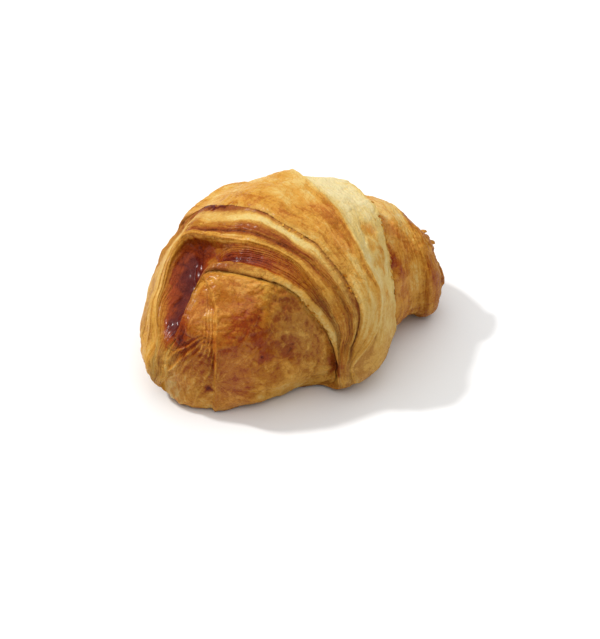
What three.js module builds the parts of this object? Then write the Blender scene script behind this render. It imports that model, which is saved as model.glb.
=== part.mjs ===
// Butter croissant: one baked piece of rolled, laminated dough, curved a little towards its -Y side.
// Millimetres, +Z up. The origin is under the middle of the box around it, on the plane that it rests on.
// The body is a loft of closed sections between a near end and a far end. Dough layers show as steps:
// each rolled turn of dough ends in an edge, and the skin rises or falls by one layer at that edge.
import * as THREE from "three";

// How finely the skin is faceted.
const SECTIONS = 58; // rings of points from the near end to the far end
const POINTS_AROUND = 46; // points on each ring

// The dough is rolled with its near end facing -Y, and then turned so that its length lies along X.
const TURN_DEGREES = -28;

// Rails that the sections hang on, at equal steps from the near end to the far end. Each row is a section:
// where its inner side and its outer side are in plan, and the heights of its top, its underside and its
// widest line. The first row and the last row are single points, where the two ends close.
const RAILS = [
  { inner: [-31, -54], outer: [-31, -54], top: 20, under: 20, widest: 20 },
  { inner: [-16, -52], outer: [-45.5, -51], top: 36, under: 5, widest: 17 },
  { inner: [-2, -46], outer: [-55.5, -45], top: 44, under: 0, widest: 17 },
  { inner: [9.5, -40.5], outer: [-59.5, -34], top: 50, under: 0, widest: 17 },
  { inner: [21, -40.5], outer: [-60.5, -21], top: 55, under: 0, widest: 18 },
  { inner: [29.5, -36.5], outer: [-58, -5], top: 59, under: 0, widest: 19 },
  { inner: [34.5, -29], outer: [-49, 14], top: 61, under: 0, widest: 19 },
  { inner: [38, -19], outer: [-34, 30], top: 60.5, under: 0, widest: 19 },
  { inner: [42, -11], outer: [-13, 38], top: 57.5, under: 0, widest: 18 },
  { inner: [46, -7], outer: [9, 39], top: 52, under: 0, widest: 17 },
  { inner: [51, -5], outer: [27, 34], top: 44.5, under: 0, widest: 16 },
  { inner: [54, -1], outer: [40, 26], top: 37, under: 1, widest: 15 },
  { inner: [55.5, 4.5], outer: [49, 17], top: 27, under: 5, widest: 15 },
  { inner: [55.5, 10.5], outer: [55.5, 10.5], top: 17, under: 17, widest: 17 },
];

// How the outline of a section is rounded: 1 is an ellipse, and less is squarer, as where it lay on the tray.
const UPPER_ROUNDING = { across: 0.95, up: 0.92 };
const LOWER_ROUNDING = { across: 0.75, up: 0.8 };
const TRAY_PRESS = 1.5; // how far the underside was pressed flat

// Edges of the rolled turns. Each runs right round the body. "at" says how far along it is, from 0 at the
// near end to 1 at the far end, at every 45 degrees round a section: from the inner side over the top to the
// outer side, and back underneath. "rise" is the step up in the skin there, in mm, going to the far end.
const NEAR_LIFT = -1; // how far the skin stands off the body before the first edge
const EDGES = [
  { name: "hood over the near end", at: [0.25, 0.262, 0.306, 0.2, 0.13, 0.12, 0.15, 0.22], rise: 2.2 },
  { name: "near edge of the top layer", at: [0.33, 0.384, 0.447, 0.465, 0.4, 0.36, 0.34, 0.33], rise: 2.6 },
  { name: "far edge of the top layer", at: [0.35, 0.44, 0.57, 0.63, 0.62, 0.56, 0.46, 0.38], rise: -1.8 },
  { name: "collar of the far end", at: [0.46, 0.59, 0.68, 0.71, 0.7, 0.64, 0.56, 0.49], rise: -1.8 },
];
const EDGE_WIDTH = 0.016; // how gradually the skin steps at an edge, as a share of the length
const UNDERSIDE_SHARE = 0.3; // the steps are pressed to this share of their height underneath

// The sheet of dough that closes the near end.
// It is folded over from the inner side, up to an edge over the top.
const FOLD = { around: 100, width: 7, rise: 1.6 };

// The hollow between the hood and the rolled near end, on its outer side.
const HOLLOW = { along: 0.3, around: 136, halfLength: 0.1, halfWidth: 22, depth: 5 };

const lerp = THREE.MathUtils.lerp;
const smooth = (x) => THREE.MathUtils.smoothstep(x, -1, 1);

function openCurve(points) {
  return new THREE.CatmullRomCurve3(points, false, "catmullrom", 0.5);
}

const innerRail = openCurve(RAILS.map((r) => new THREE.Vector3(...r.inner, r.widest)));
const outerRail = openCurve(RAILS.map((r) => new THREE.Vector3(...r.outer, r.widest)));
const heights = openCurve(RAILS.map((r) => new THREE.Vector3(r.top, r.under, 0)));
for (const edge of EDGES) {
  const points = edge.at.map((along) => new THREE.Vector3(along, 0, 0));
  edge.curve = new THREE.CatmullRomCurve3(points, true, "catmullrom", 0.5);
}

const power = (x, exponent) => Math.sign(x) * Math.abs(x) ** exponent;

// A point on the body before its layers are raised. along runs from 0 to 1, and around is in radians.
function bodyPoint(along, around) {
  const upper = Math.sin(around) >= 0;
  const rounding = upper ? UPPER_ROUNDING : LOWER_ROUNDING;
  const across = power(Math.cos(around), rounding.across);
  const up = Math.abs(Math.sin(around)) ** rounding.up;
  const point = outerRail.getPoint(along).lerp(innerRail.getPoint(along), (1 + across) / 2);
  const { x: top, y: under } = heights.getPoint(along);
  point.z += upper ? (top - point.z) * up : (under - TRAY_PRESS - point.z) * up;
  return point;
}

// How far the skin stands off the body at a place, in mm.
function layerLift(along, around) {
  const turn = THREE.MathUtils.radToDeg(around);
  const steps = EDGES.map(({ curve }) => smooth((along - curve.getPoint(turn / 360).x) / EDGE_WIDTH));
  let lift = NEAR_LIFT + FOLD.rise * smooth((FOLD.around - turn) / FOLD.width) * (1 - steps[0]);
  EDGES.forEach(({ rise }, k) => (lift += rise * steps[k]));
  const alongHollow = (along - HOLLOW.along) / HOLLOW.halfLength;
  const aroundHollow = (turn - HOLLOW.around) / HOLLOW.halfWidth;
  lift -= HOLLOW.depth * (1 - THREE.MathUtils.smoothstep(Math.hypot(alongHollow, aroundHollow), 0, 1));
  return lift * lerp(UNDERSIDE_SHARE, 1, smooth(2 * Math.sin(around) + 0.6));
}

// A point on the finished skin. The two ends close smoothly, and the underside lies flat on the tray.
function skinPoint(along, around) {
  const point = bodyPoint(along, around);
  const middle = innerRail.getPoint(along).lerp(outerRail.getPoint(along), 0.5);
  const outward = point.clone().sub(middle).normalize();
  point.addScaledVector(outward, layerLift(along, around) * Math.min(1, 8 * along, 8 * (1 - along)));
  point.z = Math.max(point.z, 0);
  return point;
}

// The rings between the two ends, then the end points, joined by triangles that face outwards.
function croissantGeometry() {
  const positions = [];
  for (let i = 1; i < SECTIONS; i++) {
    for (let j = 0; j < POINTS_AROUND; j++) {
      positions.push(...skinPoint(i / SECTIONS, (2 * Math.PI * j) / POINTS_AROUND).toArray());
    }
  }
  const nearEnd = positions.length / 3;
  const farEnd = nearEnd + 1;
  positions.push(...innerRail.getPoint(0).toArray(), ...innerRail.getPoint(1).toArray());

  const faces = [];
  const corner = (ring, j) => ring * POINTS_AROUND + (j % POINTS_AROUND);
  for (let j = 0; j < POINTS_AROUND; j++) {
    faces.push(nearEnd, corner(0, j), corner(0, j + 1));
    for (let ring = 0; ring < SECTIONS - 2; ring++) {
      faces.push(corner(ring, j), corner(ring + 1, j + 1), corner(ring, j + 1));
      faces.push(corner(ring, j), corner(ring + 1, j), corner(ring + 1, j + 1));
    }
    faces.push(farEnd, corner(SECTIONS - 2, j + 1), corner(SECTIONS - 2, j));
  }
  const geometry = new THREE.BufferGeometry();
  geometry.setAttribute("position", new THREE.Float32BufferAttribute(positions, 3));
  geometry.setIndex(faces);
  return geometry;
}

const geometry = croissantGeometry();
geometry.rotateZ(THREE.MathUtils.degToRad(TURN_DEGREES));
geometry.computeBoundingBox();
const { min, max } = geometry.boundingBox;
geometry.translate(-(min.x + max.x) / 2, -(min.y + max.y) / 2, -min.z);
geometry.computeVertexNormals();

const crust = new THREE.MeshStandardMaterial({ color: 0xc98a3c, roughness: 0.5, metalness: 0 });
const croissant = new THREE.Mesh(geometry, crust);
croissant.name = "croissant";

const part = new THREE.Group();
part.name = "butter_croissant";
part.add(croissant);

export default part;
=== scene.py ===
"""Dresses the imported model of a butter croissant: the laminated, egg-washed crust, loose flakes and a stage.

The crust is three closed sheets of dough that overlap. It is worked out in millimetres as the dough was
rolled, with the near end facing -Y, and is then turned and set where the CAD solid that it replaces is. A
place on it is given by degrees round the roll (0 the inner side, 90 the top, 180 the outer side, 270
underneath) and by how far along the roll it is, from 0 at the near end to 1 at the far end.
"""
import math

import bpy
import numpy as np
from bpy.props import FloatProperty, FloatVectorProperty, IntProperty, PointerProperty
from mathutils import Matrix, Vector


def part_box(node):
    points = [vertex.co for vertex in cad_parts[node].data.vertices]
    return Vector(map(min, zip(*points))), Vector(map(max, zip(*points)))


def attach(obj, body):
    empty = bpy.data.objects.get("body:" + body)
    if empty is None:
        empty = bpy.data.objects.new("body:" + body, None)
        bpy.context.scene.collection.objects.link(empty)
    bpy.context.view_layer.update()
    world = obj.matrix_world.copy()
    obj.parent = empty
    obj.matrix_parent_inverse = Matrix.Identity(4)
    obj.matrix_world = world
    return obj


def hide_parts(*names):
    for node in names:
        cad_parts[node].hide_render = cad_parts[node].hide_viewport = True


bl_info = {
    "name": "Butter Croissant",
    "version": (1, 0, 0),
    "blender": (4, 5, 0),
    "location": "3D View > Sidebar > Croissant",
    "description": "Builds a baked butter croissant on its CAD solid, and a plain stage for it",
    "category": "Object",
}

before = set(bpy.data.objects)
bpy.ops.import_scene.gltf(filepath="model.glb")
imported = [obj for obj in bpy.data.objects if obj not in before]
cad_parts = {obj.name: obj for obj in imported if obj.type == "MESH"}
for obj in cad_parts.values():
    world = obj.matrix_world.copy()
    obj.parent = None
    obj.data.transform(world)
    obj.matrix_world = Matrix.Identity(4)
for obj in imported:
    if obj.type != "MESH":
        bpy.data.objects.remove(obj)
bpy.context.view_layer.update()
MM = 0.001

# ---------------------------------------------------------------- the roll under the layers

ROLL_TURN = math.radians(-28)  # from the way the dough was rolled to the CAD solid's axes
ROLL_LENGTH = 150  # along the top, in mm

# Each row: inner side x and y, outer side x and y, and the heights of the top, the underside and the widest
# line.
RAILS = np.array([
    (-31, -54, -31, -54, 20, 20, 20),
    (-16, -52, -45.5, -51, 36, 5, 17),
    (-2, -46, -55.5, -45, 44, 0, 17),
    (9.5, -40.5, -59.5, -34, 50, 0, 17),
    (21, -40.5, -60.5, -21, 55, 0, 18),
    (29.5, -36.5, -58, -5, 59, 0, 19),
    (34.5, -29, -49, 14, 61, 0, 19),
    (38, -19, -34, 30, 60.5, 0, 19),
    (42, -11, -13, 38, 57.5, 0, 18),
    (46, -7, 9, 39, 52, 0, 17),
    (51, -5, 27, 34, 44.5, 0, 16),
    (54, -1, 40, 26, 37, 1, 15),
    (55.5, 4.5, 49, 17, 27, 5, 15),
    (55.5, 10.5, 55.5, 10.5, 17, 17, 17),
], float)
UPPER_ROUNDING = (0.95, 0.92)  # across and up: 1 is an ellipse, and less is squarer
LOWER_ROUNDING = (0.75, 0.8)
TRAY_PRESS = 1.5  # how far the underside was pressed flat on the tray, in mm

# ---------------------------------------------------------------- the edges of the dough layers

# Each edge as pairs of degrees round the roll and how far along it lies there.
EDGES = {
    "fold": (
        (0, 0.257), (16, 0.251), (30, 0.251), (44, 0.257), (57, 0.276), (70, 0.289), (82, 0.293), (96, 0.299),
        (108, 0.302), (112, 0.298), (115, 0.275), (117, 0.25), (119, 0.22), (122, 0.195), (127, 0.165),
        (136, 0.14), (150, 0.125), (180, 0.12), (225, 0.17), (270, 0.25), (300, 0.29), (325, 0.298),
        (346, 0.269),
    ),
    "lip": (
        (0, 0.264), (10, 0.262), (18, 0.265), (27, 0.269), (45, 0.28), (57, 0.294), (66, 0.304), (78, 0.315),
        (88, 0.324), (97, 0.326), (106, 0.32), (110, 0.316), (114, 0.3), (116, 0.283), (118, 0.257),
        (120, 0.23), (123, 0.205), (128, 0.175), (137, 0.15), (151, 0.134), (180, 0.128), (225, 0.178),
        (270, 0.258), (300, 0.297), (325, 0.304), (346, 0.275),
    ),
    "crest": (
        (0, 0.269), (10, 0.273), (18, 0.283), (34, 0.299), (46, 0.319), (56, 0.339), (64, 0.355), (71, 0.369),
        (76, 0.376), (86, 0.381), (98, 0.381), (108, 0.386), (120, 0.395), (132, 0.4), (138, 0.39),
        (142, 0.362), (145, 0.325), (147.5, 0.28), (149, 0.24), (151, 0.213), (156, 0.193), (165, 0.177),
        (180, 0.165), (225, 0.2), (270, 0.27), (300, 0.303), (325, 0.31), (346, 0.281),
    ),
    "groove": (
        (0, 0.274), (10, 0.284), (17, 0.3), (27, 0.317), (36, 0.334), (42, 0.347), (49, 0.359), (58, 0.369),
        (66, 0.382), (78, 0.394), (90, 0.398), (104, 0.404), (115, 0.409), (128, 0.412), (136, 0.411),
        (143, 0.385), (148, 0.335), (153, 0.27), (160, 0.225), (180, 0.19), (225, 0.22), (270, 0.285),
        (300, 0.311), (325, 0.315), (346, 0.286),
    ),
    "stripe": (
        (0, 0.28), (10, 0.294), (17, 0.312), (24, 0.327), (32, 0.342), (41, 0.357), (48, 0.37), (55, 0.382),
        (60, 0.39), (66, 0.399), (77, 0.408), (86, 0.419), (100, 0.425), (115, 0.426), (130, 0.431),
        (142, 0.422), (148, 0.39), (153, 0.345), (160, 0.29), (170, 0.25), (180, 0.235), (225, 0.25),
        (270, 0.3), (300, 0.32), (325, 0.32), (346, 0.291),
    ),
    "top": (
        (0, 0.287), (8, 0.298), (14, 0.312), (19, 0.326), (24, 0.343), (32, 0.361), (40, 0.381), (50, 0.4),
        (58, 0.412), (68, 0.429), (78, 0.439), (89, 0.445), (102, 0.457), (115, 0.463), (125, 0.465),
        (135, 0.462), (144, 0.452), (150, 0.442), (160, 0.42), (180, 0.39), (225, 0.36), (270, 0.345),
        (300, 0.335), (325, 0.326), (346, 0.297),
    ),
    "brow": (
        (0, 0.297), (4, 0.308), (8, 0.33), (12, 0.364), (16, 0.39), (20, 0.407), (26, 0.426), (31, 0.442),
        (36, 0.454), (46, 0.475), (56, 0.497), (65, 0.52), (78, 0.545), (92, 0.568), (105, 0.585),
        (120, 0.6), (140, 0.61), (165, 0.6), (180, 0.59), (225, 0.52), (270, 0.44), (300, 0.39),
        (325, 0.345), (346, 0.308),
    ),
    "collar": (
        (0, 0.528), (14, 0.533), (20, 0.539), (26, 0.55), (32, 0.57), (39, 0.59), (46, 0.605), (54, 0.625),
        (64, 0.643), (72, 0.653), (80, 0.66), (90, 0.675), (110, 0.69), (140, 0.7), (165, 0.69),
        (180, 0.68), (225, 0.62), (270, 0.57), (315, 0.53),
    ),
    "cuff": ((0, 0.74), (40, 0.757), (90, 0.785), (140, 0.8), (180, 0.79), (270, 0.75)),
    "nib": ((0, 0.85), (60, 0.87), (90, 0.885), (180, 0.89), (270, 0.86)),
}
# The outer sheet wraps round the foot over these edges: how far it stands off the roll there in mm, and how
# brown it is.
UNDER_THE_FOOT = ("lip", "wall", "crest", "groove", "stripe", "top")
FOOT_LIFT = 4.2
FOOT_BROWNING = 0.5
TIGHTEST = 0.004  # the least that one edge lies past the one before it
ROOM_BY_EDGE = 0.48  # how much of the way to the next edge a row of the profile may take
ROOM_BY_TIP = 0.1  # the same at the roll's two tips, as a share of its length
HIDDEN_OVERLAP = 2  # how far a sheet's hidden end turns in under the next one, in mm

# Values that change round the roll, by the name that the profile below gives them: pairs of degrees and a
# lift in mm, a browning, a glaze or a share.
ROUND = {
    "foot": ((0, 1), (3, 1), (9, 0), (308, 0), (324, 1)),
    "near lift": (
        (0, -1), (60, -0.8), (95, -0.3), (125, -1.2), (150, -0.8), (170, 0.8), (182, 0.4), (193, -2),
        (208, -1.9), (216, -0.4), (225, 1.4), (236, 2.2), (250, 3), (264, 2), (282, -0.4), (305, -1),
        (318, -1.2), (334, -2.2), (350, -1.2),
    ),
    "near brown": (
        (0, 0.5), (60, 0.58), (90, 0.54), (110, 0.52), (122, 0.6), (135, 0.62), (150, 0.5), (170, 0.42),
        (190, 0.32), (215, 0.32), (270, 0.34), (320, 0.4), (345, 0.44),
    ),
    "near layers": ((0, 0.15), (110, 0.2), (135, 0.6), (200, 0.7), (250, 0.4), (290, 0.1)),
    "finger side": (
        (0, -1), (60, -0.8), (95, -0.3), (112, -0.7), (120, -2), (135, -2), (150, -0.8), (170, 0.4),
        (205, 0.4), (240, 1.5), (262, 2), (285, 1), (305, 0.6), (318, 1), (334, 0.6), (350, -1),
    ),
    "finger edge": (
        (0, -1), (60, -0.8), (95, -0.3), (111, -0.9), (119, -3.2), (135, -3), (150, -1), (170, 0.3),
        (205, 0.3), (240, 1), (262, 1.4), (285, 0.8), (305, 0.4), (318, 0.8), (334, 0.4), (350, -1),
    ),
    "fold lift": (
        (0, -3), (14, -2.4), (30, -1.5), (96, -1.1), (106, -0.9), (112, -1.5), (119, -3.7), (128, -3.9),
        (136, -3), (143, -2), (150, -1), (160, -0.3), (180, -0.1), (270, -0.6), (345, -3),
    ),
    # Dark in the crack under the lip: painted shade.
    "fold brown": (
        (0, 0.8), (60, 0.74), (100, 0.76), (110, 0.68), (118, 0.7), (126, 0.76), (136, 0.72), (145, 0.56),
        (155, 0.46), (180, 0.42), (270, 0.5), (330, 0.7),
    ),
    "lip under": (
        (0, -1), (30, -0.4), (100, -0.4), (110, -0.8), (116, -2.6), (122, -3.6), (132, -2.8), (145, -1.4),
        (180, -0.4), (270, -0.5),
    ),
    "lip lift": (
        (0, 0.6), (20, 0.8), (100, 0.9), (108, 0.6), (113, -1), (119, -4.2), (128, -4), (138, -2.6),
        (148, -1), (160, -0.2), (180, 0.2), (270, 0.2),
    ),
    # Darker from about 85 to 132 degrees: partly the lip's own browning, partly painted shade.
    "lip brown": (
        (0, 0.48), (18, 0.36), (40, 0.26), (58, 0.28), (72, 0.36), (85, 0.54), (96, 0.68), (112, 0.8),
        (124, 0.84), (132, 0.86), (142, 0.72), (155, 0.5), (200, 0.46), (300, 0.5),
    ),
    "lip glaze": ((0, 0.25), (112, 0.25), (124, 0.3), (200, 0.3), (345, 0.3)),
    "wall near": (
        (0, 0.6), (30, 0), (88, -0.8), (98, -2), (106, -4), (113, -7), (121, -9), (130, -7.5), (140, -4.2),
        (148, -1.6), (156, 0), (180, 0.6), (270, 0.6),
    ),
    "wall mid": (
        (0, 0.8), (30, 0.2), (85, -0.8), (96, -2), (105, -4.4), (112, -8.6), (120, -12), (130, -12),
        (138, -9.4), (145, -5), (152, -1.2), (165, -0.4), (180, 0.8), (270, 0.6),
    ),
    "wall far": (
        (0, 1), (30, 0.7), (95, 0), (105, -1.6), (112, -5), (122, -8), (132, -8), (140, -6), (146, -2.6),
        (152, -0.8), (165, -0.6), (180, 1), (270, 0.8),
    ),
    # Near 1 in the hollow, from about 118 to 142 degrees: dark crust with painted shade over it.
    "wall brown": (
        (0, 0.54), (40, 0.58), (62, 0.64), (76, 0.74), (90, 0.88), (104, 0.9), (118, 0.94), (126, 1),
        (136, 1), (142, 0.94), (150, 0.66), (158, 0.46), (200, 0.46), (300, 0.5),
    ),
    # Near 1 in the hollow, from about 126 to 142 degrees: dark crust with painted shade over it.
    "wall far brown": (
        (0, 0.5), (30, 0.56), (50, 0.64), (80, 0.7), (94, 0.7), (108, 0.72), (118, 0.82), (126, 0.96),
        (136, 1), (142, 0.9), (147, 0.64), (151, 0.44), (165, 0.36), (200, 0.46), (300, 0.5),
    ),
    "wall glaze": (
        (0, 0.2), (50, 0.25), (75, 0.5), (88, 0.8), (110, 0.7), (140, 0.6), (152, 0.25), (180, 0.2),
        (300, 0.2),
    ),
    "relief": (
        (0, 1.1), (12, 0.9), (34, 1), (132, 0.9), (138, 0.2), (143, -0.5), (149, -0.8), (158, -1.1),
        (168, -0.7), (176, 0.6), (184, 0.9), (200, 0.4), (215, 0.35), (270, 0.3), (330, 0.9),
    ),
    # Paler along the crest from about 66 to 150 degrees: a painted highlight on the ridge.
    "crest brown": ((0, 0.5), (46, 0.46), (66, 0.36), (80, 0.32), (150, 0.32), (220, 0.4)),
    "rim brown": ((0, 0.54), (120, 0.54), (134, 0.46), (144, 0.38), (154, 0.34), (190, 0.36), (215, 0.5)),
    # Dark in the groove between the layer ridges: painted shade.
    "groove brown": (
        (0, 0.6), (30, 0.66), (60, 0.82), (80, 0.94), (128, 0.96), (140, 0.66), (150, 0.46), (200, 0.5),
        (300, 0.6),
    ),
    "band brown": (
        (0, 0.6), (40, 0.62), (60, 0.66), (90, 0.7), (115, 0.72), (132, 0.6), (142, 0.46), (155, 0.36),
        (190, 0.38), (230, 0.45), (300, 0.5),
    ),
    "stripe brown": (
        (0, 0.5), (40, 0.46), (60, 0.38), (72, 0.22), (82, 0.12), (105, 0.14), (116, 0.32), (132, 0.38),
        (150, 0.34), (200, 0.42), (300, 0.5),
    ),
    "crack lift": (
        (0, 0.6), (40, 0.8), (60, 1), (80, 1.1), (105, 1.3), (120, 1.3), (138, 0.9), (146, 0.7), (165, 0.8),
        (200, 1), (300, 0.5),
    ),
    # Dark along the crack under the top sheet's edge: painted shade.
    "crack brown": (
        (0, 0.56), (20, 0.7), (50, 0.66), (85, 0.68), (100, 0.72), (114, 0.76), (130, 0.8), (140, 0.72),
        (150, 0.56), (165, 0.44), (200, 0.46), (300, 0.5),
    ),
    "dome lift": (
        (0, 4.2), (10, 3.2), (30, 2.9), (100, 2.6), (112, 2.6), (122, 1.4), (132, -0.2), (141, 0.2),
        (146, 2.4), (149, 4), (152, 2.4), (157, -1.6), (166, -1.8), (174, -0.6), (186, 0.6), (220, 1),
        (300, 1), (332, 4.2),
    ),
    "dome brown": (
        (0, 0.46), (12, 0.34), (24, 0.24), (38, 0.26), (52, 0.36), (66, 0.42), (80, 0.36), (100, 0.31),
        (120, 0.34), (150, 0.4), (200, 0.46), (300, 0.5),
    ),
    "edge lift": (
        (0, 1.4), (90, 1.5), (116, 1.3), (138, 0.9), (145, 2), (149, 2.2), (154, -0.6), (162, -1.8),
        (170, -1), (182, 0.4), (200, 1), (300, 1),
    ),
    "crest lift": (
        (0, 4.2), (10, 3), (20, 2.6), (60, 2.6), (85, 1.6), (98, -0.2), (115, -0.6), (140, 0.6), (160, 1.4),
        (300, 1.5), (332, 4.2),
    ),
    "foot lift": (
        (0, 3.6), (8, 1.6), (16, 0.4), (25, 0.3), (60, 1), (76, 0.8), (88, 0), (98, -0.6), (110, -1),
        (130, -0.6), (150, 0.4), (200, 1), (300, 1), (330, 4.4), (344, 5.6), (353, 5.2),
    ),
    "cream lift": (
        (0, -0.6), (25, -0.4), (60, 0.8), (76, 0.4), (86, -0.6), (94, -0.4), (108, -0.4), (130, -0.8),
        (150, 0.4), (200, 1), (300, 1), (340, 0.4),
    ),
    "far brown": (
        (0, 0.44), (40, 0.44), (56, 0.38), (68, 0.26), (78, 0.22), (110, 0.24), (140, 0.36), (200, 0.5),
        (300, 0.55),
    ),
    "finger brown": (
        (0, 0.52), (40, 0.5), (60, 0.44), (100, 0.42), (113, 0.44), (119, 0.56), (126, 0.74), (138, 0.74),
        (150, 0.58), (170, 0.46), (300, 0.5),
    ),
    "wall layers": ((0, 1), (96, 1), (108, 0.7), (116, 0.3), (138, 0.25), (147, 0.8), (160, 1)),
    "brow brown": (
        (0, 0.44), (30, 0.4), (60, 0.46), (80, 0.44), (92, 0.34), (104, 0.2), (120, 0.2), (140, 0.36),
        (200, 0.44),
    ),
    # Pale along the ridge of the brow: a painted highlight.
    "brow light": (
        (0, 0.36), (10, 0.22), (30, 0.08), (60, 0.08), (72, 0.18), (85, 0.24), (100, 0.2), (140, 0.3),
        (200, 0.44),
    ),
    "tuck lift": (
        (0, -2), (65, -2), (82, -4.2), (92, -5.2), (110, -5.4), (135, -3.6), (160, -2), (300, -2),
    ),
    "collar lift": (
        (0, -0.6), (40, -1.4), (65, -2.4), (85, -4.8), (110, -5.4), (135, -4), (160, -1.8), (300, -1.2),
        (345, -0.6),
    ),
    "shoulder lift": (
        (0, 0.8), (50, 0), (70, -1.2), (85, -3.6), (100, -2.6), (120, -2), (135, -1.2), (150, 0),
        (300, -0.4), (345, 0.8),
    ),
    "nib lift": (
        (0, 2.8), (20, 2.4), (36, 1.2), (52, 0.6), (62, 1.4), (78, 1.4), (88, 0.2), (94, -0.4), (180, 0),
        (330, 2),
    ),
    "end lift": ((0, 2.8), (20, 2.6), (36, 1.4), (50, 0.6), (80, -0.2), (110, 0), (180, 0), (330, 2)),
    "far lift": (
        (0, 1), (30, 0.4), (56, -0.4), (80, -0.8), (92, 0.2), (105, 0.4), (130, 0), (150, 0.4), (180, -0.3),
        (330, 0.6), (345, 1),
    ),
    "foot brown": (
        (0, 0.5), (8, 0.42), (14, 0.3), (22, 0.16), (34, 0.11), (48, 0.13), (60, 0.13), (68, 0.04),
        (80, 0.01), (105, 0.01), (125, 0.1), (145, 0.3), (165, 0.42), (300, 0.5), (345, 0.56),
    ),
    # Darker from about 108 to 148 degrees, just under the top sheet's edge: painted shade there.
    "under brown": (
        (0, 0.5), (60, 0.4), (80, 0.24), (102, 0.26), (108, 0.46), (115, 0.72), (128, 0.78), (138, 0.74),
        (148, 0.6), (165, 0.44), (300, 0.5),
    ),
    "cream brown": (
        (0, 0.36), (12, 0.32), (25, 0.22), (40, 0.17), (50, 0.17), (56, 0.15), (63, 0.04), (105, 0.01),
        (125, 0.1), (145, 0.3), (165, 0.42), (300, 0.5), (345, 0.45),
    ),
}

# The skin from the near end to the far end, as three sheets of dough. Each row: the edge that it lies by, how
# far past that edge in mm, its lift off the roll in mm, its browning and its glaze from 0 to 1, how strongly
# it shows layers, and how many rows of the mesh lead on to the next. The browning of the rows in the cracks,
# the groove and the hollow also holds painted shade, and on the crest and the brow a painted highlight. Where
# the way past an edge turns back, the dough overhangs.
ROLLED_END = (
    ("near", 0, 0, 0.54, 0.3, 0.3, 34),
    ("near", 13, "near lift", "near brown", 0.3, "near layers", 36),
    ("fold", -12, "near lift", "near brown", 0.3, "near layers", 26),
    ("fold", -4, "finger side", "near brown", 0.3, 0.2, 12),
    ("fold", -1, "finger edge", "finger brown", 0.25, 0.1, 4),
    ("fold", 0.7, "fold lift", "fold brown", 0.1, 0, 3),
    ("fold", 0.5, "fold lift", "fold brown", 0.1, 0, 3),
    ("fold", -0.1, "lip under", "fold brown", 0.1, 0.2, 4),
    ("fold", 0.4, "lip lift", "lip brown", "lip glaze", 0.2, 5),
    ("lip", -1.3, "lip lift", "lip brown", "lip glaze", 0.2, 4),
    ("lip", 0.2, "lip lift", "lip brown", "lip glaze", 0.3, 3),
    ("lip", 0.8, "wall near", "wall brown", "wall glaze", "wall layers", 14),
    ("wall", 0, "wall mid", "wall brown", "wall glaze", "wall layers", 18),
    ("crest", -1.8, "wall far", "wall far brown", "wall glaze", "wall layers", 10),
    ("crest", -0.5, 1.3, "rim brown", 0.3, 1, 6),
    ("crest", 0.4, 1.9, "crest brown", 0.3, 0.8, 6),
    ("groove", -0.9, 1.6, "band brown", 0.3, 1, 5),
    ("groove", 0, 0.7, "groove brown", 0.2, 0.8, 4),
    ("groove", 0.5, 1.4, "band brown", 0.3, 1, 5),
    ("stripe", -0.8, 2, "band brown", 0.3, 1, 5),
    ("stripe", 0, 1.9, 0.46, 0.2, 0.8, 4),
    ("stripe", 0.8, 1.4, "stripe brown", 0.15, 0.5, 9),
    ("top", -2.4, 1.2, "stripe brown", 0.15, 0.4, 6),
    ("top", -1.3, 0.9, "under brown", 0.2, 0.3, 5),
    ("top", -0.2, "crack lift", "crack brown", 0.2, 0.2, 3),
    ("top", 0.45, "crack lift", "crack brown", 0.1, 0, 1),
)
OUTER_SHEET = (
    ("top", 0.4, "crack lift", "crack brown", 0.1, 0, 3),
    ("top", 0.35, 1.2, "crack brown", 0.1, 0, 3),
    ("top", 0.05, "edge lift", 0.55, 0.2, 0.4, 5),
    ("top", 0.5, "edge lift", 0.42, 0.25, 0.4, 6),
    ("top", 4, "dome lift", "dome brown", 0.3, 0.3, 34),
    ("brow", -4, "dome lift", "dome brown", 0.3, 0.3, 16),
    ("brow", -0.8, "dome lift", "brow brown", 0.3, 0.3, 5),
    ("brow", 0.2, "dome lift", "brow light", 0.2, 0.3, 4),
    ("brow", 0.8, "crest lift", "brow light", 0.15, 0.3, 5),
    ("brow", 3.4, "foot lift", "foot brown", 0.15, 0.35, 24),
    ("collar", -3, "cream lift", "cream brown", 0.15, 0.35, 12),
    ("collar", -0.6, "cream lift", 0.2, 0.15, 0.4, 4),
    ("collar", 0.1, "cream lift", 0.34, 0.15, 0.3, 3),
    ("collar", 0.3, "tuck lift", 0.7, 0.15, 0.2, 1),
)
FAR_END = (
    ("collar", 0.3, "tuck lift", 0.74, 0.15, 0.2, 3),
    ("collar", 1, "tuck lift", 0.62, 0.3, 0.3, 5),
    ("collar", 4, "collar lift", "far brown", 0.4, 0.6, 8),
    ("collar", 9, "shoulder lift", "far brown", 0.4, 0.6, 18),
    ("cuff", -1, "far lift", "far brown", 0.35, 0.8, 7),
    ("cuff", 0.8, "end lift", 0.62, 0.4, 0.8, 14),
    ("nib", -0.8, "nib lift", 0.5, 0.4, 0.8, 6),
    ("nib", 0.6, -0.7, 0.64, 0.3, 0.7, 12),
    ("far", -6, "end lift", 0.5, 0.3, 0.8, 14),
    ("far", 0, 0, 0.5, 0.3, 0.5, 1),
)

COLUMNS = 370  # of the mesh, round the roll
# How closely the columns lie round the roll, where 1 is the widest apart.
CLOSENESS = ((0, 2), (60, 2), (85, 2.2), (100, 3), (155, 3), (175, 1.8), (210, 1.2), (320, 1.2), (345, 1.7))

# ---------------------------------------------------------------- marks on the crust, and painted light and shade on its relief

# The near end is a face. A place on it is in mm across and up the face, from the near end's middle.
FACE_ACROSS = np.array((1, 0, 0))
FACE_UP = np.array((0, 1, 1)) / math.sqrt(2)
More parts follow.
